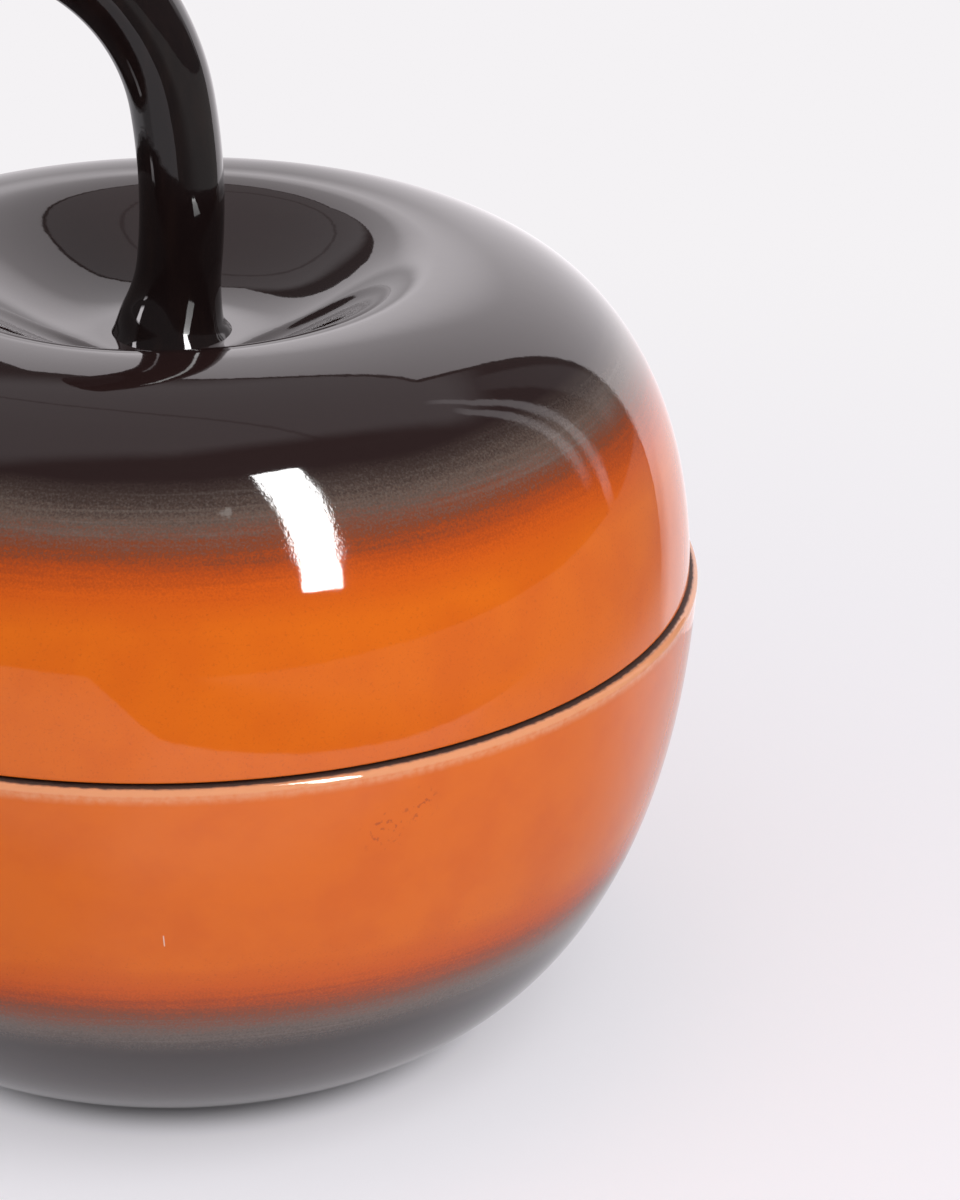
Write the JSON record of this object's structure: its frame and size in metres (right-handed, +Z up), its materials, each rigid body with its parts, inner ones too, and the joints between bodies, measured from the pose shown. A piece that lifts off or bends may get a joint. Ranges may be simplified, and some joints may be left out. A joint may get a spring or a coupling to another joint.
{
  "type": "apple-shaped jar",
  "caption": "Apple-shaped lidded jar in glossy glazed ceramic: a round hollow bowl, a dimpled lid that lifts off, and a bent stem on the lid as its handle.",
  "frame": {"origin": "centre of the foot ring, on the surface that the jar stands on", "axes": "+Z up along the jar's axis, -X the way that the stem bends over, -Y towards the picture's camera"},
  "size_m": [0.2034, 0.2034, 0.2293],
  "materials": {
    "bowl_glaze": "glossy clear glaze over orange, airbrushed to black round the base, with a bare brown foot ring",
    "lid_glaze": "glossy clear glaze over orange, airbrushed to black from the shoulder up over the crest and dimple",
    "stem_glaze": "glossy black-brown glaze"
  },
  "bodies": {
    "bowl": {"bowl": "bowl_glaze"},
    "lid": {"lid": "lid_glaze", "stem": "stem_glaze"}
  },
  "joints": [
    {"name": "lid_lift", "type": "slide", "parent": "bowl", "child": "lid", "axis": [0, 0, 1], "range_m": [0, 0.12]}
  ]
}
